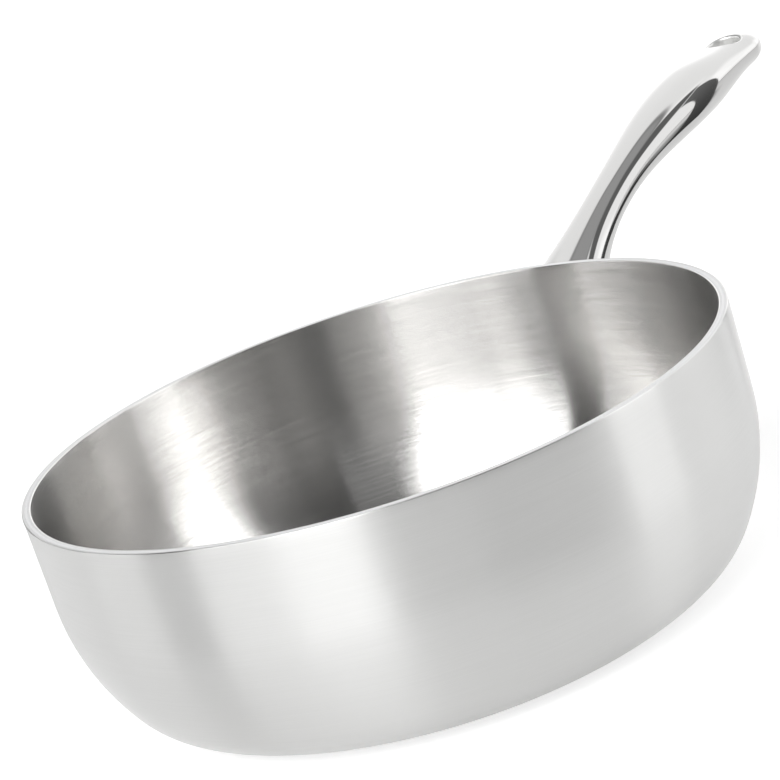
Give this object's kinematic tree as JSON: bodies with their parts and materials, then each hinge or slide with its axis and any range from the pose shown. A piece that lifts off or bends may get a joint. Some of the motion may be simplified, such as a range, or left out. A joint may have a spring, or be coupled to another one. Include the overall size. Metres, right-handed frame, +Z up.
{
  "type": "saucier pan",
  "caption": "Round-shouldered stainless steel saucier pan with a flat base and one long curved handle with a hanging hole.",
  "frame": {"origin": "centre of the flat base, on the pan's axis, at the face that the pan rests on", "axes": "+Z up along the pan's axis, +X along the handle, +Y across the handle"},
  "size_m": [0.4342, 0.2464, 0.1186],
  "materials": {
    "cooking_steel": "brushed around the axis",
    "bonding_alloy": "cut edge",
    "pure_aluminium": "cut edge",
    "outer_steel": "satin",
    "cast_steel": "mirror polished",
    "weld_steel": "dressed weld"
  },
  "bodies": {
    "root": {"cooking_surface": "cooking_steel", "inner_alloy_ply": "bonding_alloy", "core_ply": "pure_aluminium", "outer_alloy_ply": "bonding_alloy", "induction_ply": "outer_steel", "handle": "cast_steel", "handle_weld": "weld_steel"}
  },
  "joints": []
}
